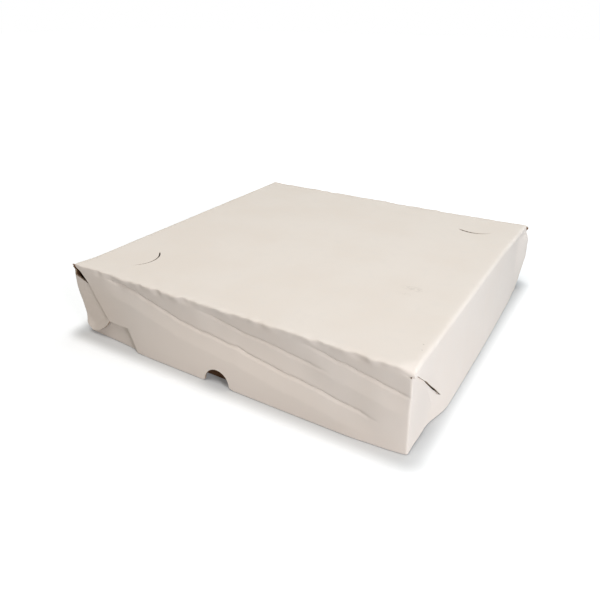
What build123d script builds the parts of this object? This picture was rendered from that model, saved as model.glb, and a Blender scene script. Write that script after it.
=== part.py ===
"""Square white pastry box: a lid folded from one sheet of fluted board, over a base tray folded from another.

The origin is at the bottom centre, +Z is up, and the wall with the thumb notch faces -Y. Both trays are made by
one function, in the lid's pose: a square panel with four walls that hang from it. Seen from outside, each wall
has an ear at its right end, folded round the corner, and a slit near its left end that the next wall's ear goes
through. The strip left between that slit and the corner is pushed in behind the ear.
"""

import os

from build123d import *

# Driving sizes, in millimetres
lid_width = 300.0  # the lid's square panel, fold to fold
box_height = 65.0  # table to the top of the closed box
board = 1.3  # fluted board
front_bow = 4.0  # how far the front and back walls stand out along their free edge
side_bow = 7.0  # the same on the left and right walls
base_bow = 1.5  # the same on the base tray's four walls
bow_end = 45.0  # each wall falls back into line over about this length before its right corner
table_gap = 0.5  # air under the lid's walls
layer_gap = 0.15  # air between two layers of one folded sheet
tray_gap = 0.3  # air between the lid's innermost layer and the base tray
rim_gap = 0.3  # air between the base tray's rim and the lid's panel
fold_round = 1.5  # outside radius of the folds round the panel
turn_round = 1.2  # the same where a wall turns into its ear
lean_margin = 1.25  # sets that rounding clear of the lean of the most bulged wall

# Corner lock, along the wall from its left end, down from the fold or up from the free edge
knee_run, knee_drop = 8.0, 15.0  # where the slit turns, close under the panel
slit_run = 32.0  # lower end of the slanted part of the slit
lock_rise = 20.0  # height of that end above the wall's free edge
fold_foot = 58.0  # foot of the soft fold that joins the pushed-in strip to the wall
fold_lean = 7.0  # how far that fold leans towards the corner over lock_rise
slit_gap = 0.4  # width of the cut
flat_share = 0.8  # part of the strip that lies flat behind the ear; the rest ramps out to the fold
ear_gape = 4.0  # how far the ear's top edge stays below the slit's upper end
ear_foot = 2.5  # height of the ear's round end above the free edge
ear_tip = 42.0  # how far the ear's hidden tip reaches from the corner
arc_share = 0.66  # where the ear's lower arc is halfway down, as a share of slit_run

# Thumb notch and half-moon slits
notch_radius = 12.5
notch_height = 14.0
notch_mouth = 3.0  # radius that eases the notch into the free edge
moon_radius = 20.5
moon_half_angle = 56.0  # each slit spans twice this
moon_in, moon_back = 29.0, 40.0  # its arc's centre, from the left and front folds

layer = board + layer_gap
lid_height = box_height - table_gap
base_inset = 3 * board + 2 * layer_gap + tray_gap
base_width = lid_width - 2 * base_inset
base_height = lid_height + table_gap - board - rim_gap
reach = lid_width  # farther out than anything that a cut has to pass


def plan(side, z):
    """The view down on the tray at height z, turned so that wall number `side` lies along local -Y."""
    return Plane(origin=(0, 0, z), x_dir=Vector(1, 0, 0).rotate(Axis.Z, 90 * side), z_dir=(0, 0, 1))


def outside(side):
    """The view of wall number `side` from outside, with local Y up."""
    facing = Vector(0, -1, 0).rotate(Axis.Z, 90 * side)
    return Plane(origin=(0, 0, 0), x_dir=Vector(1, 0, 0).rotate(Axis.Z, 90 * side), z_dir=facing)


def across(side):
    """The section across wall number `side`, with local X outwards and local Y up."""
    facing = Vector(0, -1, 0).rotate(Axis.Z, 90 * side)
    return Plane(origin=(0, 0, 0), x_dir=facing, z_dir=facing.cross(Vector(0, 0, 1)))


def folded_sheet(width, height, bows):
    """One sheet folded into a square tray that opens downwards, its free edges at z = 0.

    `bows` say how far the four walls' free edges stand out, from the front one anticlockwise.
    """
    half = width / 2
    slit_drop = height - lock_rise
    fold_head = fold_foot - fold_lean * height / lock_rise  # where the soft fold's line would meet the panel
    corner = width - layer  # the wall turns here, one layer inside the next wall

    def spot(along, out):
        """Plan point `along` the wall from its left end and `out` from its fold line."""
        return (along - half, -half - out)

    def mark(along, down):
        """Point on the wall seen from outside, `along` it and `down` from the fold."""
        return (along - half, height - down)

    pieces = []
    for side in range(4):
        bow, next_bow = bows[side], bows[(side + 1) % 4]
        bow_pulls = [(fold_foot, bow), (corner - bow_end, bow), (corner - bow_end / 3, bow), (corner, 0)]

        # The wall from its soft fold to the corner, and the ear that follows the next wall's inside
        with BuildPart() as wall:
            with BuildSketch(plan(side, height)):
                ear_back = -flat_share * fold_head
                with BuildLine():
                    Polyline(
                        spot(fold_head, 0),
                        spot(corner, 0),
                        spot(corner, ear_back),
                        spot(corner - board, ear_back),
                        spot(corner - board, -board),
                        spot(fold_head, -board),
                        close=True,
                    )
                make_face()
            with BuildSketch(plan(side, 0)):
                ear_back = -flat_share * fold_foot
                ear_out = corner + flat_share * next_bow
                with BuildLine():
                    Bezier(*[spot(along, out) for along, out in bow_pulls])
                    Polyline(
                        spot(corner, 0),
                        spot(ear_out, ear_back),
                        spot(ear_out - board, ear_back),
                        spot(corner - board, -board),
                    )
                    inner_pulls = [spot(along, out - board) for along, out in bow_pulls[:-1]]
                    Bezier(*inner_pulls, spot(corner - board, -board))
                    Line(spot(fold_foot, bow - board), spot(fold_foot, bow))
                make_face()
            loft(ruled=True)
            turn = wall.edges().sort_by_distance(plan(side, height / 2).from_local_coords(spot(corner, 0)))[0]
            fillet(turn, turn_round)
            with BuildSketch(outside(side + 1)):
                with BuildLine():
                    Polyline(
                        mark(board, -board),
                        mark(fold_foot + board, -board),
                        mark(fold_foot + board, height + board),
                        mark(board, height + board),
                        close=True,
                    )
                make_face()
                with BuildLine():
                    shoulder = mark(knee_run + layer, knee_drop + ear_gape)
                    Polyline(
                        mark(0, height - ear_foot),
                        mark(0, ear_gape),
                        shoulder,
                        mark(ear_tip - lock_rise / 4, slit_drop - lock_rise),
                        mark(ear_tip, slit_drop - lock_rise / 2),
                        mark(slit_run, slit_drop),
                    )
                    ThreePointArc(
                        mark(slit_run, slit_drop),
                        mark(arc_share * slit_run, height - lock_rise / 2),
                        mark(0, height - ear_foot),
                    )
                make_face(mode=Mode.SUBTRACT)
            extrude(amount=half + reach, mode=Mode.SUBTRACT)
        pieces.append(wall.part)

        # The wall's upper left end, over the slit
        with BuildPart() as cheek:
            with BuildSketch(plan(side, height)):
                with BuildLine():
                    Polyline(
                        spot(0, 0), spot(fold_head, 0), spot(fold_head, -board), spot(0, -board), close=True
                    )
                make_face()
            with BuildSketch(plan(side, 0)):
                with BuildLine():
                    Polyline(
                        spot(0, 0),
                        spot(fold_foot, bow),
                        spot(fold_foot, bow - board),
                        spot(0, -board),
                        close=True,
                    )
                make_face()
            loft(ruled=True)
            with BuildSketch(outside(side)):
                with BuildLine():
                    Polyline(
                        mark(-board, 0),
                        mark(0, 0),
                        mark(knee_run, knee_drop),
                        mark(slit_run, slit_drop),
                        mark(fold_foot + board, slit_drop),
                        mark(fold_foot + board, height + board),
                        mark(-board, height + board),
                        close=True,
                    )
                make_face()
            extrude(amount=half + reach, mode=Mode.SUBTRACT)
        pieces.append(cheek.part)

        # The strip under the slit, flat behind the ear and ramped out to the soft fold
        with BuildPart() as strip:
            for z, foot, out in ((height, fold_head, 0), (0, fold_foot, bow)):
                with BuildSketch(plan(side, z)):
                    start_out = out * layer / foot - 2 * layer
                    bend, bend_out = flat_share * foot, flat_share * out - 2 * layer
                    with BuildLine():
                        Polyline(
                            spot(layer, start_out),
                            spot(bend, bend_out),
                            spot(foot, out),
                            spot(foot, out - board),
                            spot(bend, bend_out - board),
                            spot(layer, start_out - board),
                            close=True,
                        )
                    make_face()
            loft(ruled=True)
            with BuildSketch(outside(side)):
                with BuildLine():
                    Polyline(
                        mark(-board, slit_gap),
                        mark(0, slit_gap),
                        mark(knee_run, knee_drop + slit_gap),
                        mark(slit_run, slit_drop + slit_gap),
                        mark(fold_foot + board, slit_drop + slit_gap),
                        mark(fold_foot + board, -board),
                        mark(-board, -board),
                        close=True,
                    )
                make_face()
            extrude(amount=half + reach, mode=Mode.SUBTRACT)
        pieces.append(strip.part)

    with BuildPart() as sheet:
        with BuildSketch(Plane.XY.offset(height - board)):
            Rectangle(width, width)
        extrude(amount=board)
        add(pieces)
        lean = lean_margin * max(bows) * fold_round / height
        for side in range(4):
            with BuildSketch(across(side)):
                with Locations((half + lean - fold_round, height - fold_round)):
                    Rectangle(2 * fold_round, 2 * fold_round, align=(Align.MIN, Align.MIN))
                    Circle(fold_round, mode=Mode.SUBTRACT)
        extrude(amount=half + board, both=True, mode=Mode.SUBTRACT)
    return sheet.part


lid_sheet = folded_sheet(lid_width, lid_height, (front_bow, side_bow, front_bow, side_bow))
base_sheet = folded_sheet(base_width, base_height, (base_bow, base_bow, base_bow, base_bow))

with BuildPart() as lid:
    with Locations((0, 0, table_gap)):
        add(lid_sheet)
    # Thumb notch, a half round cut into the front wall's free edge with an eased mouth
    with BuildSketch(outside(0)) as notch:
        with Locations((0, table_gap + notch_height - notch_radius)):
            Circle(notch_radius)
            Rectangle(2 * notch_radius, notch_height, align=(Align.CENTER, Align.MAX))
        with Locations((0, table_gap)):
            Rectangle(4 * notch_radius, notch_height, align=(Align.CENTER, Align.MAX))
        mouth = notch.vertices().filter_by(lambda v: abs(v.Z - table_gap) < 0.01)
        fillet(mouth.sort_by(Axis.X)[1:-1], notch_mouth)
    extrude(amount=reach, mode=Mode.SUBTRACT)
    # Half-moon slits, one near the front left corner and one near the back right, alike across the diagonal
    with BuildSketch(Plane.XY.offset(box_height)):
        edge = lid_width / 2
        SlotArc(
            CenterArc((moon_in - edge, moon_back - edge), moon_radius, -moon_half_angle, 2 * moon_half_angle),
            slit_gap,
        )
        SlotArc(
            CenterArc((edge - moon_back, edge - moon_in), moon_radius, -90 - moon_half_angle, 2 * moon_half_angle),
            slit_gap,
        )
    extrude(amount=-board, mode=Mode.SUBTRACT)

with BuildPart() as base:
    with Locations((0, 0, base_height)):
        add(base_sheet, rotation=(0, 180, 0))

os.makedirs("parts", exist_ok=True)
lid.part.label = "lid"
export_step(lid.part, "parts/lid.step")
base.part.label = "base"
export_step(base.part, "parts/base.step")
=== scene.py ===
"""White pastry box: a lid folded from one sheet of lined board, closed over a kraft base tray.

Each sheet is made the way the real one is. A flat blank is cut (slits, ears, thumb notch), then every point of
it is carried to its place on the folded tray, and last the board gets its thickness. The folding is worked out
in millimetres, and the finished pieces are in metres.
"""

import math

import bmesh
import bpy
from bpy.props import FloatProperty, FloatVectorProperty, PointerProperty
from mathutils import Matrix, Vector, noise


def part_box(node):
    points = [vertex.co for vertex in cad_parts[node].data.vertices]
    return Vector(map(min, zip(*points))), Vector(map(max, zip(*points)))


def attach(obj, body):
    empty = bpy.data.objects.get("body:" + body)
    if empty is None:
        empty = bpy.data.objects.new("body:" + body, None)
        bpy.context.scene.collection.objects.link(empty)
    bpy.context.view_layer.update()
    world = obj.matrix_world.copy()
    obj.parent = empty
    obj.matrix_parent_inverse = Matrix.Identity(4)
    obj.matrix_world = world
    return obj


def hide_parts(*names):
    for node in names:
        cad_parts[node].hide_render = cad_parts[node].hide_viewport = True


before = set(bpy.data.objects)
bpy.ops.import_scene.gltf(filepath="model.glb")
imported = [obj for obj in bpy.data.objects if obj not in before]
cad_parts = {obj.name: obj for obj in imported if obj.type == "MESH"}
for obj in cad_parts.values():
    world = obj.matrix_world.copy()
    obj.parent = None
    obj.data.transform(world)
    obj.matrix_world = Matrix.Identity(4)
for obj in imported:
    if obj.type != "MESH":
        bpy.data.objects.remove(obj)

bl_info = {
    "name": "Folded pastry box",
    "version": (1, 0, 0),
    "blender": (4, 5, 0),
    "location": "3D View > Sidebar > Pastry box",
    "description": "Folds a white pastry box, lid and base tray, from two cut blanks",
    "category": "Object",
}

MM = 0.001
TABLE_GAP = 0.5  # mm of air under the lid's walls

# The blanks' lines, in millimetres
PANEL_PITCH = 2.3  # between lines across the panel and along its walls
EAR_PITCH = 2.4  # the same across an ear
CREASE_PITCH = 7.0  # between the points of a crease's line
BAND = 3.0  # strip of the panel along each fold that is bent
TURN = 1.55  # either side of a corner that is bent
SCORE_REACH = 8.0  # beyond a scored line, within which faces are tested
RIM = 6.0  # below the panel, within which it is joined to its walls
WELD = 1e-4  # how close points are joined
NEAR = 1e-3  # as good as touching

# How the folds round the panel vary, in millimetres, or as a share
TIGHT_REACH, TIGHT_SHARE = 4.0, 0.6  # how far the corners tighten a fold, and how much
CRUSH_REACH = 8.0  # how far from a fold's right end it is crushed
RADIUS_SHARE = 0.5  # how much of a wall's waves its fold's radius takes up
WAVE_START, WAVE_LEAST = 14.0, 0.35  # from a corner until a fold wanders fully, and its share at the corner
WANDER_FADE = 7.0  # into the panel, while it takes up the fold's wandering
DENT_DEPTH, DENT_LEVEL = 0.7, 0.5  # of the dents along a fold, and how wide they are
DENT_FADE = 6.0  # into the panel from a dent
LIFT_FADE = 7.0  # down a wall, while it takes up the fold's unevenness
SAG_EDGE = 30.0  # from the panel's edge until it sags fully
SAG_SCALE = 85.0  # size of its hollows

# How the walls hang, in millimetres, or as a share
LEAN_SHARE = 0.6  # how much of a wall's bulge is lean; the rest is curve
LEAN_FADE = 60.0  # along a wall, while it takes up its neighbour's lean
SWELL_FADE = 14.0  # the same for what the neighbour's end stands out besides
GAPE_FADE = 34.0  # down the pushed-in strip from its sunk cut edge
CURL_FADE = 7.0  # into an ear from its curled round end

# A crease across a wall, in millimetres, or as a share of its depth
CREASE = [(-1.7, 0), (0, 0.15), (2.4, 0)]  # its groove: how far below its line, share
CREASE_DIP, CREASE_REACH = 0.4, 14.0  # share that the wall dips with it, and how far below it
CREASE_FADE, CREASE_PAST = 26.0, 4.0  # over which its ends run out, and how far past its line
CREASE_CLEAR = 3.0  # below the panel, within which its groove runs out too
CREASE_WANDER, CREASE_WAVE = 1.3, 10.0  # how far it strays, and over what length

# Rows of the noise, four for the walls' folds or one for each crease, and its scale in millimetres
FOLD_WAVES = [(0, 9.5, 1), (4, 23, 0.5), (8, 5.5, 0.6)]  # how a fold wanders, with each wave's share
RADIUS_ROW, RADIUS_WAVE = 11, 11.0
DENT_ROW, DENT_WAVE = 20, 7.0
CREASE_ROW = 31
ROW_APART = 7.3

# Half-moon slits in the panel: millimetres and degrees
MOON_RADIUS, MOON_SPAN, MOON_STEPS = 20.5, 112.0, 16
MOON_FADE = 8.5  # into a half-moon's flap from its slit, over which its rim is pulled in


class BoxSizes(bpy.types.PropertyGroup):
    """Sizes of the closed box."""

    width: FloatProperty(
        name="Width", description="The lid's square panel, fold to fold", default=0.3, min=0.1, unit="LENGTH"
    )
    height: FloatProperty(
        name="Height",
        description="Table to the top of the closed box",
        default=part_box("lid")[1][2],
        min=0.02,
        unit="LENGTH",
    )
    board: FloatProperty(
        name="Board", description="Thickness of the fluted board", default=0.0013, min=0.0005, unit="LENGTH"
    )
    layer_gap: FloatProperty(
        name="Layer gap",
        description="Air between two layers of one sheet",
        default=0.00015,
        min=0,
        unit="LENGTH",
    )


class BoxFinish(bpy.types.PropertyGroup):
    """Colours of the board."""

    liner: FloatVectorProperty(
        name="White liner",
        description="The lid's outside",
        default=(0.82, 0.745, 0.675),
        min=0,
        max=1,
        subtype="COLOR",
    )
    # Darker than plain kraft: besides its own colour it carries painted shade where the base tray and the lid's
    # inside show through the notch and gaps
    kraft: FloatVectorProperty(
        name="Kraft",
        description="The lid's inside and the base tray",
        default=(0.16, 0.08, 0.039),
        min=0,
        max=1,
        subtype="COLOR",
    )
    cut: FloatVectorProperty(
        name="Cut edge",
        description="The board where it is cut",
        default=(0.38, 0.28, 0.19),
        min=0,
        max=1,
        subtype="COLOR",
    )


def ease(t):
    """0 up to 0, 1 from 1 on, smooth between."""
    t = min(1.0, max(0.0, t))
    return t * t * (3 - 2 * t)


def fade(distance, over):
    """1 at distance 0, falling smoothly to 0 at `over`."""
    return 1 - ease(distance / over)


def through(points, x):
    """The value at x of a smooth line through (x, value) points, whose ends go on level."""
    if x <= points[0][0]:
        return points[0][1]
    if x >= points[-1][0]:
        return points[-1][1]
    i = max(j for j, (at, _) in enumerate(points) if at <= x)
    (x0, y0), (x1, y1) = points[i], points[i + 1]

    def slope(j):
        before, after = points[max(0, j - 1)], points[min(len(points) - 1, j + 1)]
        return (after[1] - before[1]) / (after[0] - before[0])

    run = x1 - x0
    t = (x - x0) / run
    return (
        (2 * t**3 - 3 * t**2 + 1) * y0
        + (t**3 - 2 * t**2 + t) * run * slope(i)
        + (3 * t**2 - 2 * t**3) * y1
        + (t**3 - t**2) * run * slope(i + 1)
    )


def straight(points, x):
    """The value at x of a polyline through (x, value) points, whose ends go on level."""
    for (x0, y0), (x1, y1) in zip(points, points[1:]):
        if x <= x1:
            return y0 + (y1 - y0) * max(0.0, (x - x0) / (x1 - x0))
    return points[-1][1]


def apart(point, line):
    """Distance of a flat point from a polyline."""
    place, least = Vector(point), math.inf
    for start, end in zip(line, line[1:]):
        start, run = Vector(start), Vector(end) - Vector(start)
        share = min(1, max(0, (place - start).dot(run) / run.length_squared))
        least = min(least, (place - start - share * run).length)
    return least


def spread(start, end, pitch):
    """Evenly spaced values from start to end, about `pitch` apart."""
    steps = max(1, round((end - start) / pitch))
    return [start + (end - start) * i / steps for i in range(steps + 1)]


def rough(row, x, scale):
    """Smooth noise between about -1 and 1 along a line. Each row of it is another line."""
    return noise.noise(Vector((x / scale, row * ROW_APART, 2.1)))


def wandering(line, row):
    """A crease's (u, d) line in short steps, no longer quite straight."""
    us = spread(line[0][0], line[-1][0], CREASE_PITCH)
    return [(u, straight(line, u) + CREASE_WANDER * rough(row, u, CREASE_WAVE)) for u in us]


class Wall:
    """How one wall hangs, in millimetres. u runs along it from its left end seen from outside, d down it.

    foot: how far its free edge stands out, as (u, out) points
    slit: the cut near its left end that the neighbour's ear goes through, as (u, d) points
    fold_foot: u of the pushed-in strip's soft fold at the free edge
    ear, ear_end: outline of its own ear beyond its right end, hidden part first, then the round end that shows
    ramp: the length over which the strip is pushed in
    gape: how far the strip's cut edge sinks away from the slit, as (u, down) points
    curl: how far the ear's round end curls out
    fold, crush: radius of the fold to the panel, and what is added to it at its right end
    waves: how uneven that fold is
    swell: how far the wall's right end stands out, as (d, out) points
    creases: dents along a line of (u, d) points, each with its depth
    rows: how many rows of faces it has
    """

    def __init__(
        self,
        foot,
        slit,
        fold_foot,
        ear,
        ear_end,
        ramp=14,
        gape=((0, 0),),
        curl=0,
        fold=1.5,
        crush=0,
        waves=0.3,
        swell=((0, 0),),
        creases=(),
        rows=20,
    ):
        self.foot, self.slit, self.fold_foot = foot, slit, fold_foot
        self.ear, self.ear_end, self.curl = ear + ear_end, ear_end, curl
        self.ramp, self.gape = ramp, gape
        self.fold, self.crush, self.waves = fold, crush, waves
        self.swell, self.rows = swell, rows
        self.creases = [(wandering(line, CREASE_ROW + i), depth) for i, (line, depth) in enumerate(creases)]


class Tray:
    """One sheet folded into a tray that opens downwards. Walls 0 to 3 are front, right, back and left.

    sag: how far the panel sags
    pulls: panel corners pulled out of place, each as its (x, y) signs, the pull, and how far round it reaches
    """

    def __init__(self, width, height, layer, walls, sag=0.0, pulls=()):
        self.width, self.height, self.layer = width, height, layer
        self.walls, self.sag, self.pulls = walls, sag, pulls
        self.corner = width - layer  # s where a wall turns into its ear

    def fold_radius(self, side, u):
        """Radius of the fold to the panel: uneven, tight at both ends and crushed at the right one."""
        wall = self.walls[side]
        left, right = u, self.width - u
        uneven = 1 + RADIUS_SHARE * wall.waves * rough(side + RADIUS_ROW, u, RADIUS_WAVE)
        tight = 1 - TIGHT_SHARE * math.exp(-min(left, right) / TIGHT_REACH)
        return wall.fold * uneven * tight + wall.crush * math.exp(-((right / CRUSH_REACH) ** 2))

    def fold_shift(self, side, u):
        """How far the fold line wanders out and down at u."""
        out = sum(share * rough(side + row, u, scale) for row, scale, share in FOLD_WAVES)
        down = DENT_DEPTH * max(0, DENT_LEVEL + rough(side + DENT_ROW, u, DENT_WAVE))
        inner = ease(min(u, self.width - u) / WAVE_START)
        strength = self.walls[side].waves * (WAVE_LEAST + (1 - WAVE_LEAST) * inner)
        return strength * out, strength * down

    def panel_point(self, x, y):
        """Where a point of the flat panel goes, over the rounded folds along its edges."""
        half = self.width / 2
        place, drops, lower = [x, y], [], 0.0
        for axis, value in enumerate((x, y)):
            # The nearer wall across this axis, and how far along it the point lies
            side = ((3, 1), (0, 2))[axis][value > 0]
            u = half + (x, y, -x, -y)[side]
            depth = half - abs(value)
            radius = self.fold_radius(side, u)
            wander, down = self.fold_shift(side, u)
            turn = math.pi / 2 * max(0.0, 1 - depth / BAND)
            if turn > 0:
                out = half - radius + radius * math.sin(turn)
            else:
                out = abs(value) + (BAND - radius) * fade(depth - BAND, 1.5 * BAND)
            drops.append(radius * (1 - math.cos(turn)))
            out += wander * fade(depth, WANDER_FADE)
            lower = max(lower, down * fade(depth, DENT_FADE))
            place[axis] = math.copysign(out, value)
        middle = (1 - (x / half) ** 2) * (1 - (y / half) ** 2)
        hollows = 0.5 + 0.5 * noise.noise(Vector((x / SAG_SCALE, y / SAG_SCALE, 4.2)))
        dip = self.sag * (0.5 * middle + 0.5 * hollows) * ease((half - max(abs(x), abs(y))) / SAG_EDGE)
        point = Vector((place[0], place[1], self.height - max(drops) - lower - dip))
        for corner, pull, over in self.pulls:
            point += Vector(pull) * fade((Vector((x, y)) - half * Vector(corner)).length, over)
        return point

    def out_at(self, side, u, d):
        """How far the wall's outer face stands out from its fold."""
        wall = self.walls[side]
        share = d / self.height
        out = through(wall.foot, u) * (LEAN_SHARE * share + (1 - LEAN_SHARE) * share**2)
        out += straight(wall.swell, d) * fade(self.corner - u, 2 * SWELL_FADE)
        for line, depth in wall.creases:
            start, end = line[0][0] - CREASE_PAST, line[-1][0] + CREASE_PAST
            strength = depth * ease((u - start) / CREASE_FADE) * ease((end - u) / CREASE_FADE)
            if strength > 0:
                at = straight(line, u)
                out -= strength * straight(CREASE, d - at) * ease(d / CREASE_CLEAR)
                out -= strength * CREASE_DIP * min(d / at, max(0, 1 - (d - at) / CREASE_REACH))
        return out

    def along(self, side, u, d):
        """u moved with the lean of the walls at both ends."""
        left, right = (side - 1) % 4, (side + 1) % 4
        swell = straight(self.walls[left].swell, d)
        lean = self.out_at(left, self.corner, d) - swell
        moved = u - lean * fade(u, LEAN_FADE) - swell * fade(u, SWELL_FADE)
        return moved + self.out_at(right, 0, d) * fade(self.corner - u, LEAN_FADE)

    def world(self, side, u, out, d):
        """The box's own coordinates of a place on a wall."""
        half = self.width / 2
        turned = Matrix.Rotation(math.radians(90 * side), 3, "Z")
        return turned @ Vector((u - half, -half - out, self.height - d))

    def wall_point(self, side, u, d, inset=0.0):
        """Point on the wall, `inset` behind its outer face."""
        point = self.world(side, self.along(side, u, d), self.out_at(side, u, d) - inset, d)
        if d < LIFT_FADE:
            half = self.width / 2
            edge = Matrix.Rotation(math.radians(90 * side), 2) @ Vector((min(u, self.width) - half, -half))
            hung = self.world(side, self.along(side, u, 0), self.out_at(side, u, 0), 0)
            point += (self.panel_point(*edge) - hung) * fade(d, LIFT_FADE)
        return point

    def blank_point(self, side, s, d, pushed=0.0):
        """Where a point of the flat blank goes: the wall, its turn, or the ear inside the next wall.

        s runs along the blank as u does, but on past the corner into the ear.
        """

        def ear(reach):
            curl = self.walls[side].curl * fade(apart((reach, d), self.walls[side].ear_end), CURL_FADE)
            return self.wall_point((side + 1) % 4, reach, d, inset=self.layer - curl)

        if s <= self.corner - TURN:
            return self.wall_point(side, s, d, inset=pushed)
        if s >= self.corner + TURN:
            return ear(s - self.corner)
        if d == 0:
            return self.wall_point(side, s, d)
        start, tip, end = self.wall_point(side, self.corner - TURN, d), ear(0.0), ear(TURN)
        t = (s - self.corner + TURN) / (2 * TURN)
        return start.lerp(tip, t).lerp(tip.lerp(end, t), t)


def grid(columns, rows):
    """A flat sheet whose lines lie at the given x and y."""
    sheet = bmesh.new()
    across, up = len(columns) - 1, len(rows) - 1
    bmesh.ops.create_grid(sheet, x_segments=across, y_segments=up, size=0.5)
    for vert in sheet.verts:
        column, row = round((vert.co.x + 0.5) * across), round((vert.co.y + 0.5) * up)
        vert.co = (columns[column], rows[row], 0)
    return sheet


def crosses(face, a, b):
    """Whether the segment a-b runs through the inside of a flat convex face."""
    enter, leave = 0.0, 1.0
    run = b - a
    for loop in face.loops:
        corner, side = loop.vert.co, loop.link_loop_next.vert.co - loop.vert.co
        depth = side.x * (a.y - corner.y) - side.y * (a.x - corner.x)
        gain = side.x * run.y - side.y * run.x
        if abs(gain) < 1e-9:  # as good as parallel
            if depth < 1e-6:
                return False
        elif gain > 0:
            enter = max(enter, -depth / gain)
        else:
            leave = min(leave, -depth / gain)
    return (leave - enter) * run.length > NEAR


def lies_on(edge, a, b):
    """Whether both ends of an edge lie on the segment a-b."""
    run = b - a
    for vert in edge.verts:
        end = vert.co - a
        on_line = abs(run.cross(end).z) < NEAR * run.length
        if not on_line or not -NEAR <= end.dot(run) / run.length <= run.length + NEAR:
            return False
    return True


def score(sheet, line, snap=True):
    """Puts edges of the flat sheet along a line of points and returns them. The sheet stays in one piece."""
    points = [Vector((x, y, 0)) for x, y in line]
    for point in points if snap else ():
        nearest = min(sheet.verts, key=lambda vert: (vert.co - point).length_squared)
        nearest.co = point
    for a, b in zip(points, points[1:]):
        middle, radius = (a + b) / 2, (b - a).length / 2 + SCORE_REACH
        near = [face for face in sheet.faces if (face.calc_center_median() - middle).length < radius]
        hit = [face for face in near if crosses(face, a, b)]
        edges = dict.fromkeys(edge for face in hit for edge in face.edges)
        verts = dict.fromkeys(vert for face in hit for vert in face.verts)
        normal = Vector((0, 0, 1)).cross(b - a).normalized()
        bmesh.ops.bisect_plane(sheet, geom=[*hit, *edges, *verts], dist=1e-5, plane_co=a, plane_no=normal)
    found = {}
    for a, b in zip(points, points[1:]):
        found.update(dict.fromkeys(edge for edge in sheet.edges if lies_on(edge, a, b)))
    return list(found)


def inside(point, outline):
    """Whether a flat point lies inside a closed outline."""
    odd = False
    for (x0, y0), (x1, y1) in zip(outline, outline[1:] + outline[:1]):
        if (y0 > point.y) != (y1 > point.y) and point.x < x0 + (point.y - y0) * (x1 - x0) / (y1 - y0):
            odd = not odd
    return odd


def arc(centre, radius, start, end, steps):
    """Points along an arc, angles in degrees."""
    angles = [math.radians(start + (end - start) * i / steps) for i in range(steps + 1)]
    return [(centre[0] + radius * math.cos(a), centre[1] + radius * math.sin(a)) for a in angles]


def cut_away(sheet, gone):
    """Deletes the faces whose middle passes a test."""
    faces = [face for face in sheet.faces if gone(face.calc_center_median())]
    bmesh.ops.delete(sheet, geom=faces, context="FACES")


def carry(sheet, folded):
    """Moves a flat sheet's points to folded(x, y, beside), where `beside` is in the middle of a point's faces.

    It tells the two sides of a cut apart.
    """
    places = {}
    for vert in sheet.verts:
        if vert.link_faces:
            middles = [face.calc_center_median() for face in vert.link_faces]
            places[vert] = folded(vert.co.x, vert.co.y, sum(middles, Vector()) / len(middles))
    for vert, place in places.items():
        vert.co = place


def fold_wall(tray, side, columns, notch=None):
    """The blank of one wall with its ear, cut, then folded into place."""
    wall, height = tray.walls[side], tray.height
    beyond = spread(0, max(x for x, _ in wall.ear) - TURN, EAR_PITCH)
    ear_columns = [tray.corner + TURN / 2] + [tray.corner + TURN + x for x in beyond]
    rows = [-height] + [-d for d in reversed(spread(0, height, height / wall.rows))][1:]
    sheet = grid([c for c in columns if c <= tray.corner + NEAR] + ear_columns, rows)

    trim = wall.ear[-1][0]
    outline = [(tray.corner + x, -min(d, height)) for x, d in wall.ear]
    score(sheet, outline)
    outline += [(tray.corner + trim, 1), (tray.corner, 1)]
    cut_away(sheet, lambda at: at.x > tray.corner + trim and not inside(at, outline))

    if notch:
        score(sheet, notch)
        cut_away(sheet, lambda at: inside(at, notch))

    for line, _ in wall.creases:
        for below, _ in CREASE:
            score(sheet, [(u, -d - below) for u, d in line], snap=False)

    end_u, end_d = wall.slit[-1]
    score(sheet, [(end_u, -end_d), (wall.fold_foot, -height)])
    bmesh.ops.split_edges(sheet, edges=score(sheet, [(u, -d) for u, d in wall.slit]))

    def soft_fold(d):
        """u of the pushed-in strip's soft fold."""
        return end_u + (wall.fold_foot - end_u) * (d - end_d) / (height - end_d)

    def in_strip(at):
        """Whether a flat point is under the slit and left of the soft fold."""
        return at.x < soft_fold(-at.y) and -at.y > straight(wall.slit, at.x)

    # The strip starts inside the neighbour's board
    cut_away(sheet, lambda at: at.x < tray.layer and in_strip(at))

    def folded(s, y, beside):
        d, pushed = -y, 0.0
        if s < wall.fold_foot and in_strip(beside):
            pushed = 2 * tray.layer * ease((soft_fold(d) - s) / wall.ramp)
            d += straight(wall.gape, s) * fade(d - straight(wall.slit, s), GAPE_FADE)
        return tray.blank_point(side, s, d, pushed)

    carry(sheet, folded)
    return sheet


def fold_panel(tray, columns, moons=()):
    """The square panel with its half-moon slits and its four rounded folds."""
    lines = [c - tray.width / 2 for c in columns]
    sheet = grid(lines, lines)
    for centre, start, _ in moons:
        slit = arc(centre, MOON_RADIUS, start, start + MOON_SPAN, MOON_STEPS)
        bmesh.ops.split_edges(sheet, edges=score(sheet, slit))

    def folded(x, y, beside):
        point = tray.panel_point(x, y)
        for centre, start, gap in moons:
            away = Vector((x, y)) - Vector(centre)
            angle = (math.degrees(math.atan2(away.y, away.x)) - start) % 360
            if angle < MOON_SPAN and (beside.xy - Vector(centre)).length < MOON_RADIUS:
                opening = straight(gap, angle / MOON_SPAN) * fade(MOON_RADIUS - away.length, MOON_FADE)
                point -= away.to_3d().normalized() * opening
        return point

    carry(sheet, folded)
    return sheet


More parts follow.
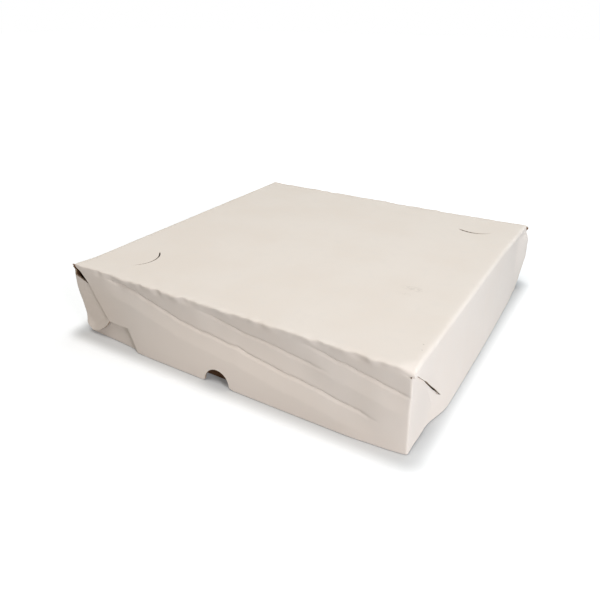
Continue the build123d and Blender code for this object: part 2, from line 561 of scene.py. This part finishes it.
def fold_sheet(name, tray, turned, moons=(), notch=None):
    """Joins the panel and its walls, and returns the sheet as an object, still without thickness."""
    inner = spread(BAND, tray.width - BAND, PANEL_PITCH)
    ends = [0.0, 0.7, tray.layer, 2.2]  # closer lines where a fold tightens
    columns = ends + inner + [tray.width - x for x in reversed(ends)]
    parts = [fold_panel(tray, columns, moons)]
    parts += [fold_wall(tray, side, columns, notch if side == 0 else None) for side in range(4)]

    whole = bmesh.new()
    for part in parts:
        piece = bpy.data.meshes.new("part")
        part.to_mesh(piece)
        part.free()
        whole.from_mesh(piece)
        bpy.data.meshes.remove(piece)
    loose = [vert for vert in whole.verts if not vert.link_faces]
    bmesh.ops.delete(whole, geom=loose, context="VERTS")
    rim = [vert for vert in whole.verts if vert.is_boundary and vert.co.z > tray.height - RIM]
    bmesh.ops.remove_doubles(whole, verts=rim, dist=WELD)
    bmesh.ops.transform(whole, matrix=turned, verts=whole.verts)
    bmesh.ops.scale(whole, vec=Vector((MM, MM, MM)), verts=whole.verts)
    for face in whole.faces:
        face.smooth = True
    mesh = bpy.data.meshes.new(name)
    whole.to_mesh(mesh)
    whole.free()
    piece = bpy.data.objects.new(name, mesh)
    bpy.context.scene.collection.objects.link(piece)
    return piece


def thicken(piece, board, materials, low, top):
    """Gives a folded sheet the board's thickness, inwards and between two heights.

    The materials are those of its outside, its inside and its cut edge.
    """
    for material in materials:
        piece.data.materials.append(material)
    solid = piece.modifiers.new("Board", "SOLIDIFY")
    solid.thickness = board
    solid.offset = -1
    solid.use_rim = True
    solid.material_offset = 1
    solid.material_offset_rim = 2
    shown = piece.evaluated_get(bpy.context.evaluated_depsgraph_get())
    mesh = bpy.data.meshes.new_from_object(shown)
    piece.modifiers.clear()
    flat, piece.data = piece.data, mesh
    bpy.data.meshes.remove(flat)
    mesh.name = piece.name
    for vert in mesh.vertices:
        vert.co.z = max(low, min(vert.co.z, top))
    mesh.set_sharp_from_angle(angle=math.radians(40))


class Wire:
    """A socket that takes part in Python sums. Each sum adds its Math node."""

    def __init__(self, look, socket):
        self.look, self.socket = look, socket

    def math(self, operation, first, second):
        return self.look.add("ShaderNodeMath", {"operation": operation}, {0: first, 1: second})

    def __add__(self, other):
        return self.math("ADD", self, other)

    def __radd__(self, other):
        return self.math("ADD", other, self)

    def __sub__(self, other):
        return self.math("SUBTRACT", self, other)

    def __rsub__(self, other):
        return self.math("SUBTRACT", other, self)

    def __mul__(self, other):
        return self.math("MULTIPLY", self, other)

    def __rmul__(self, other):
        return self.math("MULTIPLY", other, self)


class Look:
    """The nodes of a material, or of the world."""

    def __init__(self, owner):
        self.owner = owner
        owner.use_nodes = True
        self.tree = owner.node_tree
        self.tree.nodes.clear()

    def add(self, kind, settings=None, values=None, output=0):
        """Adds a node: its settings first, then its sockets' values or links. Returns one output as a Wire."""
        node = self.tree.nodes.new(kind)
        for key, value in (settings or {}).items():
            setattr(node, key, value)
        for key, value in (values or {}).items():
            if isinstance(value, Wire):
                self.tree.links.new(value.socket, node.inputs[key])
            else:
                node.inputs[key].default_value = value
        return Wire(self, node.outputs[output]) if node.outputs else node

    def place(self, scale=(1, 1, 1), turn=0.0):
        """The object's own coordinates in millimetres, scaled and turned about Z."""
        coordinates = self.add("ShaderNodeTexCoord", output="Object")
        turned, scaled = (0, 0, math.radians(turn)), tuple(share / MM for share in scale)
        return self.add("ShaderNodeMapping", None, {"Vector": coordinates, "Rotation": turned, "Scale": scaled})

    def noise(self, place, scale, detail):
        """Noise with about `scale` patches to a millimetre."""
        return self.add("ShaderNodeTexNoise", None, {"Vector": place, "Scale": scale, "Detail": detail})

    def vector(self, operation, first, second=(0, 0, 0), output=0):
        """Vector Math."""
        return self.add("ShaderNodeVectorMath", {"operation": operation}, {0: first, 1: second}, output)

    def steps(self, value, low, high):
        """0 below low, 1 above high, smooth between."""
        limits = {"Value": value, "From Min": low, "From Max": high}
        return self.add("ShaderNodeMapRange", {"interpolation_type": "SMOOTHSTEP"}, limits)

    def mix(self, share, first, second):
        """Colour mix."""
        return self.add("ShaderNodeMix", {"data_type": "RGBA"}, {0: share, 6: first, 7: second}, output=2)

    def bump(self, height, strength, distance):
        """The normal of a surface with that relief."""
        return self.add("ShaderNodeBump", None, {"Height": height, "Strength": strength, "Distance": distance})

    def surface(self, **values):
        """The shader and the material's output. Returns the material."""
        sockets = {key.replace("_", " "): value for key, value in values.items()}
        shader = self.add("ShaderNodeBsdfPrincipled", None, sockets)
        self.add("ShaderNodeOutputMaterial", None, {"Surface": shader})
        return self.owner


def tone(colour, gain=1.0, warm=0.0):
    """A colour made lighter or darker, and warmer, for a socket."""
    red, green, blue = colour[:3]
    return (min(1, red * gain * (1 + warm)), min(1, green * gain), min(1, blue * gain * (1 - warm)), 1.0)


def patch(look, place, centre, size):
    """A soft oval, 1 in its middle, by its centre and half its size in millimetres."""
    offset = look.vector("DIVIDE", look.vector("SUBTRACT", place, centre), size)
    return 1 - look.steps(look.vector("LENGTH", offset, output="Value"), 0.0, 1.0)


def white_liner(finish):
    """The lid's white outside: matt paper with faint clouding and fibres, painted light and shade on its walls,
    and a faint darker mark and two specks on the panel.
    """
    look = Look(bpy.data.materials.new("white_liner"))
    place = look.place()
    clouds = look.noise(place, 0.018, 3.0)
    blotches = look.noise(place, 0.11, 2.0)
    fibres = look.noise(look.place((1, 0.35, 1)), 1.4, 3.0)
    colour = look.mix(look.steps(clouds, 0.35, 0.7), tone(finish.liner), tone(finish.liner, 0.972, 0.012))
    colour = look.mix(look.steps(blotches, 0.45, 0.8) * 0.5, colour, tone(finish.liner, 0.975, -0.006))
    colour = look.mix(look.steps(fibres, 0.52, 0.75) * 0.22, colour, tone(finish.liner, 0.93, 0.015))

    # Painted light and shade on the walls: painted light along the middle of the front, painted shade near its
    # left corner, and painted shade where the ear shows on the right wall
    for centre, size, gain, warm in (
        ((0, -152, 22), (120, 22, 44), 1.075, 0.012),
        ((-138, -152, 30), (60, 26, 42), 0.94, 0.03),
        ((154, -128, 24), (14, 30, 30), 0.93, 0),
    ):
        colour = look.mix(patch(look, place, centre, size), colour, tone(finish.liner, gain, warm))

    # A faint darker mark and two specks on the panel
    grain = look.steps(look.noise(place, 0.5, 3.0), 0.42, 0.62)
    streaks = look.steps(fibres, 0.4, 0.7)
    dark_mark = patch(look, place, (108, -44, 65), (13, 6, 8)) * grain
    dark_mark = dark_mark + patch(look, place, (106, -56, 65), (10, 4, 8)) * streaks * 0.5
    colour = look.mix(dark_mark * 0.55, colour, tone(finish.liner, 0.72, 0.02))
    specks = patch(look, place, (143, -118, 65), (0.9, 0.7, 3))
    specks = specks + patch(look, place, (144.6, -125, 65), (0.8, 0.6, 3))
    colour = look.mix(specks * 0.6, colour, tone(finish.liner, 0.35, 0.1))
    return look.surface(
        Base_Color=colour,
        Roughness=0.7 + 0.1 * fibres,
        Normal=look.bump(fibres * 0.5 + blotches, 0.25, 0.08 * MM),
        Specular_IOR_Level=0.3,
    )


def kraft_face(finish):
    """Brown kraft paper: short fibres in two directions and slightly darker flecks."""
    look = Look(bpy.data.materials.new("kraft_face"))
    long_way = look.noise(look.place((0.16, 1, 1)), 1.1, 4.0)
    short_way = look.noise(look.place((1, 0.3, 1), turn=70), 0.9, 3.0)
    clouds = look.noise(look.place(), 0.03, 3.0)
    colour = look.mix(look.steps(long_way, 0.35, 0.7), tone(finish.kraft, 0.86), tone(finish.kraft, 1.14))
    colour = look.mix(look.steps(short_way, 0.5, 0.75) * 0.5, colour, tone(finish.kraft, 0.78))
    colour = look.mix(look.steps(clouds, 0.3, 0.7) * 0.5, colour, tone(finish.kraft, 1.1, 0.03))
    return look.surface(
        Base_Color=colour,
        Roughness=0.78 + 0.1 * long_way,
        Normal=look.bump(long_way + short_way, 0.3, 0.1 * MM),
        Specular_IOR_Level=0.3,
    )


def cut_edge(finish):
    """The board where it is cut: light kraft, with darker stripes of painted shade for the hollow openings of
    its flutes.
    """
    flute_pitch = 3.2
    look = Look(bpy.data.materials.new("cut_edge"))
    place = look.place()
    run = look.vector("DOT_PRODUCT", place, (1, 1, 0), output="Value")
    flutes = look.add("ShaderNodeMath", {"operation": "SINE"}, {0: run * (2 * math.pi / flute_pitch)})
    fuzz = look.noise(place, 1.2, 3.0)
    # The darker stripes are painted shade inside the flutes' openings
    colour = look.mix(look.steps(flutes + fuzz, 0.5, 1.3), tone(finish.cut), tone(finish.cut, 0.55, 0.05))
    return look.surface(
        Base_Color=colour,
        Roughness=0.85,
        Normal=look.bump(fuzz, 0.3, 0.1 * MM),
        Specular_IOR_Level=0.2,
    )


def board_looks(finish, *names):
    """Finishes of the board by name, each made once for both sheets."""
    makers = {"white_liner": white_liner, "kraft_face": kraft_face, "cut_edge": cut_edge}
    return [bpy.data.materials.get(name) or makers[name](finish) for name in names]


# Corner locks, in millimetres along a wall from the corner and down from the fold. The low lock is the one at
# the near left corner, which stands open, and the high lock the one at the near right corner. Each has its
# slit, the hidden edge of the ear that goes through it, the ear's round end, and how far the cut edge of the
# pushed-in strip sinks under the slit.
LOW_SLIT = [(0, 0), (3, 0.8), (6.5, 5.2), (9.4, 10), (11.8, 14.2), (17.7, 25), (31, 45.5), (43, 45.4), (54, 45)]
LOW_TIP = [(20, 21), (37, 26), (42, 35)]
LOW_EAR = [(0, 0.3), (6, 1.6), (11, 8)] + LOW_TIP
LOW_OPEN_EAR = [(0, 10.8), (5, 13), (10, 15.8), (12.5, 15.6), (15, 15.6)] + LOW_TIP
LOW_END = [(31, 45.5), (27.5, 50), (23, 54), (17, 58), (11, 60.8), (6.5, 60.8), (3, 58.6), (0, 55)]
LOW_END += [(-4, 59), (-12, 64.5)]
LOW_GAPE = [(0, 14), (6.5, 13), (11.5, 6), (17.7, 1.5), (24, 0)]
HIGH_SLIT = [(0, 0), (6, 7.2), (12, 12.3), (22, 20.6), (40, 36.6), (49, 45.8), (54, 50)]
HIGH_EAR = [(0, 0.3), (6, 1.5), (12, 9.4), (17, 15.8), (22, 21), (28, 26.6), (34, 32.2), (40, 37.8)]
HIGH_EAR += [(47, 44), (50, 39), (54, 43)]
HIGH_END = [(50, 47.4), (40, 48.5), (33.5, 52), (31.5, 58), (27, 62), (18, 63.6), (0, 64.5)]
HIGH_GAPE = [(18, 0), (26, 1), (34, 2.2), (43, 2.8), (51, 0)]
LOW_FOOT, HIGH_FOOT = 64, 62  # the feet of the strips' soft folds

# The three creases across the lid's front wall
LONG_CREASE = [(33, 4), (57, 8), (83, 14), (109, 21), (129, 24), (156, 26.5), (178, 30), (207, 35), (238, 39)]
LONG_CREASE += [(278, 46)]
SHORT_CREASE = [(128, 6), (148, 10), (170, 14), (199, 17), (219, 20), (241, 23)]
RIGHT_CREASE = [(219, 6), (237, 9.5), (260, 14), (282, 18), (308, 23)]


def lid_walls():
    """The lid's four walls as the photograph shows the front and right ones; the others are plain."""
    front_foot = [(0, -0.1), (20, 0.8), (37, 1.5), (52, 2.5), (66, 3.4), (84, 3.75), (255, 3.75), (276, 2.4)]
    front_foot += [(289, 1.2), (299, -0.4)]
    front = Wall(
        front_foot,
        LOW_SLIT,
        LOW_FOOT,
        HIGH_EAR,
        HIGH_END,
        ramp=7,
        gape=LOW_GAPE,
        fold=0.9,
        crush=1.8,
        waves=1.6,
        creases=[(LONG_CREASE, 4.8), (SHORT_CREASE, 4.2), (RIGHT_CREASE, 4.4)],
        rows=46,
    )
    right_foot = [(0, 2.2), (14, 2.4), (33, 3.9), (46, 5.2), (58, 6.4), (72, 6.9), (140, 6.9), (181, 6.6)]
    right_foot += [(232, 5.7), (262, 5), (299, 2)]
    right = Wall(
        right_foot,
        HIGH_SLIT,
        HIGH_FOOT,
        LOW_EAR,
        LOW_END,
        ramp=27,
        gape=HIGH_GAPE,
        fold=3.0,
        waves=0.2,
        swell=[(0, 0), (3, 1.2), (8, 4.4), (13, 5.8), (30, 6), (40, 4.6), (50, 3), (62, 1.4)],
        rows=36,
    )
    back = Wall(
        [(0, 1.5), (60, 3.2), (150, 3.6), (240, 3.2), (299, 0.5)],
        LOW_SLIT,
        LOW_FOOT,
        HIGH_EAR,
        HIGH_END,
        fold=1.2,
        waves=1.3,
    )
    left = Wall(
        [(0, 0.5), (60, 6), (150, 6.6), (240, 6), (272, 3), (299, 0)],
        HIGH_SLIT,
        HIGH_FOOT,
        LOW_OPEN_EAR,
        LOW_END,
        ramp=27,
        gape=HIGH_GAPE,
        curl=1.6,
        fold=2.2,
        waves=0.25,
        swell=[(0, 3.4), (4, 5), (11, 6.3), (21, 6.5), (28, 5.4), (36, 3), (46, 1), (57, 0)],
    )
    return [front, right, back, left]


def half_moons(tray):
    """The panel's two half-moon slits: each arc's centre, its first angle, and how far its rim is pulled in."""
    half, beside, behind = tray.width / 2, 29, 40
    front_rim = [(0, 0), (0.15, 0.4), (0.5, 0.8), (0.85, 1.3), (0.95, 1), (1, 0)]
    back_rim = [(0, 0), (0.14, 0), (0.2, 1.6), (0.42, 2), (0.65, 1.1), (0.9, 0.4), (1, 0)]
    front = ((beside - half, behind - half), -MOON_SPAN / 2, front_rim)
    back = ((half - behind, half - beside), -90 - MOON_SPAN / 2, back_rim)
    return [front, back]


def thumb_notch(tray):
    """Outline of the half round in the front wall's blank, a little left of the middle, its mouth eased."""
    middle, low = tray.width / 2 - 2.2, -tray.height
    radius, rise, steps = 11.6, 0.8, 18
    left_mouth = [(middle - 14, low), (middle - 12.2, low + 0.5)]
    right_mouth = [(middle + 12.8, low + 0.7), (middle + 16, low)]
    return left_mouth + arc((middle, low + rise), radius, 178, 4, steps) + right_mouth


class PASTRYBOX_OT_lid(bpy.types.Operator):
    """Cut and fold the white lid"""

    bl_idname = "pastrybox.lid"
    bl_label = "Lid"

    def execute(self, context):
        sizes, finish = context.scene.pastry_box_sizes, context.scene.pastry_box_finish
        layer = (sizes.board + sizes.layer_gap) / MM
        near_left = ((-1, -1), (-2.8, -0.3, 0), 24)
        far_right = ((1, 1), (2.2, 2.6, 0), 80)
        near_right = ((1, -1), (-0.4, 0.6, -2.6), 13)
        tray = Tray(
            sizes.width / MM,
            sizes.height / MM - TABLE_GAP,
            layer,
            lid_walls(),
            sag=0.7,
            pulls=[near_left, far_right, near_right],
        )
        up = Matrix.Translation((0, 0, TABLE_GAP))
        piece = fold_sheet("lid_sheet", tray, up, half_moons(tray), thumb_notch(tray))
        looks = board_looks(finish, "white_liner", "kraft_face", "cut_edge")
        thicken(piece, sizes.board, looks, TABLE_GAP * MM, sizes.height)
        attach(piece, "lid_shell")
        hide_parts("lid")
        return {"FINISHED"}


class PASTRYBOX_OT_base(bpy.types.Operator):
    """Cut and fold the kraft base tray"""

    bl_idname = "pastrybox.base"
    bl_label = "Base tray"

    def execute(self, context):
        sizes, finish = context.scene.pastry_box_sizes, context.scene.pastry_box_finish
        layer = (sizes.board + sizes.layer_gap) / MM
        (west, _, _), (_, _, top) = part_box("base")
        bow, slight = 1.5, 0.6
        width, height = 2 * (-west / MM - bow), top / MM
        start, end = 58, width - 45  # of a bow's level stretch
        # The lid's creased front presses on the front wall's rim
        pressed = [(0, 0), (50, -0.2), (110, -0.9), (170, -0.9), (250, -0.4), (width, 0)]
        level = [(0, 0), (start, slight), (end, slight), (width, 0)]
        bulged = [(0, 0), (start, bow), (end, bow), (width, 0)]
        low = {"slit": LOW_SLIT, "fold_foot": LOW_FOOT, "ear": HIGH_EAR, "ear_end": HIGH_END, "waves": 0.1}
        high = {"slit": HIGH_SLIT, "fold_foot": HIGH_FOOT, "ear": LOW_EAR, "ear_end": LOW_END, "waves": 0.1}
        walls = [Wall(pressed, **low), Wall(bulged, **high), Wall(level, **low), Wall(bulged, **high)]
        over = Matrix.Translation((0, 0, height)) @ Matrix.Rotation(math.pi, 4, "Y")
        piece = fold_sheet("base_sheet", Tray(width, height, layer, walls), over)
        thicken(piece, sizes.board, board_looks(finish, "kraft_face", "kraft_face", "cut_edge"), 0, top)
        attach(piece, "base_tray")
        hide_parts("base")
        return {"FINISHED"}


# The stage, in metres: lamps with their place, target, side, watts and colour, and the photograph's viewpoint
LAMPS = [
    ("overhead_front", (0.0, -0.4, 1.3), (0, 0, 0), 0.5, 6.7, (1, 0.985, 0.96)),
    ("overhead_back", (0.0, 0.4, 1.3), (0, 0, 0), 0.8, 7.1, (0.85, 0.945, 1)),
    ("right_back", (1.0, 0.3, 0.35), (0.15, 0, 0.03), 0.5, 1.1, (0.5, 0.79, 1)),
    ("right_front", (1.0, -0.55, 0.3), (0, -0.1, 0.03), 0.3, 6.8, (0.925, 0.935, 1)),
]
CAMERA_PLACE, CAMERA_TURN = (0.23398, -0.42216, 0.25566), (62.637, -0.278, 31.293)
CAMERA_LENS, CAMERA_FRAME = 33.716, 36  # mm
FLOOR_REACH, FLOOR_DROP = 6.0, 0.0001  # from the middle, and how far the floor lies under the box
FOOTPRINT = (0.15, 0.15, 0)  # half the box, round which the floor's glow is dimmed as painted shadow
SKY_LIGHT, SKY_COLOUR = 0.21, (1, 0.9, 0.78, 1)
BLACK, WHITE = (0, 0, 0, 1), (1, 1, 1, 1)


def lamp(name, place, target, size, power, colour):
    """A soft square lamp that looks at a point."""
    data = bpy.data.lights.new(name, "AREA")
    data.shape = "SQUARE"
    data.size, data.energy, data.color = size, power, colour
    light = bpy.data.objects.new(name, data)
    light.location = place
    light.rotation_euler = (Vector(target) - Vector(place)).to_track_quat("-Z", "Y").to_euler()
    bpy.context.scene.collection.objects.link(light)


def pale_floor():
    """A pale floor that looks white to the camera, but less so close to the box, where its glow is dimmed as a
    painted shadow on top of the box's own shadow.
    """
    look = Look(bpy.data.materials.new("pale_floor"))
    mirrored = look.vector("ABSOLUTE", look.add("ShaderNodeTexCoord", output="Object"))
    beyond = look.vector("MAXIMUM", look.vector("SUBTRACT", mirrored, FOOTPRINT))
    away = look.vector("LENGTH", beyond, output="Value")
    ray = look.add("ShaderNodeLightPath", output="Is Camera Ray")
    # Its glow to the camera, dimmed near the box as painted shadow: next to the box, then out of its darkest
    # shadow, then out of all of it
    shine = ray * (0.1 + 0.38 * look.steps(away, 0.004, 0.021) + 0.6 * look.steps(away, 0.03, 0.5))
    return look.surface(
        Base_Color=(0.61, 0.618, 0.62, 1),
        Roughness=0.9,
        Specular_IOR_Level=0.1,
        Emission_Color=look.mix(shine, BLACK, WHITE),
        Emission_Strength=1.0,
    )


def studio():
    """A world that looks white to the camera and lights the box softly."""
    look = Look(bpy.data.worlds.new("studio"))
    ray = look.add("ShaderNodeLightPath", output="Is Camera Ray")
    strength = SKY_LIGHT + (1 - SKY_LIGHT) * ray
    colour = look.mix(ray, SKY_COLOUR, WHITE)
    sky = look.add("ShaderNodeBackground", None, {"Color": colour, "Strength": strength})
    look.add("ShaderNodeOutputWorld", None, {"Surface": sky})
    return look.owner


class PASTRYBOX_OT_stage(bpy.types.Operator):
    """Set the white floor, the lamps and the camera"""

    bl_idname = "pastrybox.stage"
    bl_label = "Stage"

    def execute(self, context):
        scene = context.scene
        ground = bmesh.new()
        bmesh.ops.create_grid(ground, x_segments=8, y_segments=8, size=FLOOR_REACH)
        bmesh.ops.translate(ground, vec=(0, 0, -FLOOR_DROP), verts=ground.verts)
        mesh = bpy.data.meshes.new("floor")
        ground.to_mesh(mesh)
        ground.free()
        floor = bpy.data.objects.new("floor", mesh)
        scene.collection.objects.link(floor)
        floor.data.materials.append(pale_floor())

        scene.world = studio()
        for row in LAMPS:
            lamp(*row)

        camera = bpy.data.cameras.new("camera")
        camera.sensor_width, camera.lens = CAMERA_FRAME, CAMERA_LENS
        view = bpy.data.objects.new("camera", camera)
        view.location = CAMERA_PLACE
        view.rotation_euler = [math.radians(angle) for angle in CAMERA_TURN]
        scene.collection.objects.link(view)
        scene.camera = view
        scene.view_settings.view_transform = "Standard"
        return {"FINISHED"}


class PASTRYBOX_PT_panel(bpy.types.Panel):
    """The pastry box's sizes, colours and pieces"""

    bl_label = "Pastry box"
    bl_idname = "PASTRYBOX_PT_panel"
    bl_space_type = "VIEW_3D"
    bl_region_type = "UI"
    bl_category = "Pastry box"

    def draw(self, context):
        for group in (context.scene.pastry_box_sizes, context.scene.pastry_box_finish):
            for name in group.__annotations__:
                self.layout.prop(group, name)
        for operator in (PASTRYBOX_OT_lid, PASTRYBOX_OT_base, PASTRYBOX_OT_stage):
            self.layout.operator(operator.bl_idname)


CLASSES = (BoxSizes, BoxFinish, PASTRYBOX_OT_lid, PASTRYBOX_OT_base, PASTRYBOX_OT_stage, PASTRYBOX_PT_panel)


def register():
    for cls in CLASSES:
        bpy.utils.register_class(cls)
    bpy.types.Scene.pastry_box_sizes = PointerProperty(type=BoxSizes)
    bpy.types.Scene.pastry_box_finish = PointerProperty(type=BoxFinish)


def unregister():
    del bpy.types.Scene.pastry_box_finish
    del bpy.types.Scene.pastry_box_sizes
    for cls in reversed(CLASSES):
        bpy.utils.unregister_class(cls)


def main():
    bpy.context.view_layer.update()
    register()
    bpy.ops.pastrybox.lid()
    bpy.ops.pastrybox.base()
    bpy.ops.pastrybox.stage()


if __name__ == "__main__":
    main()
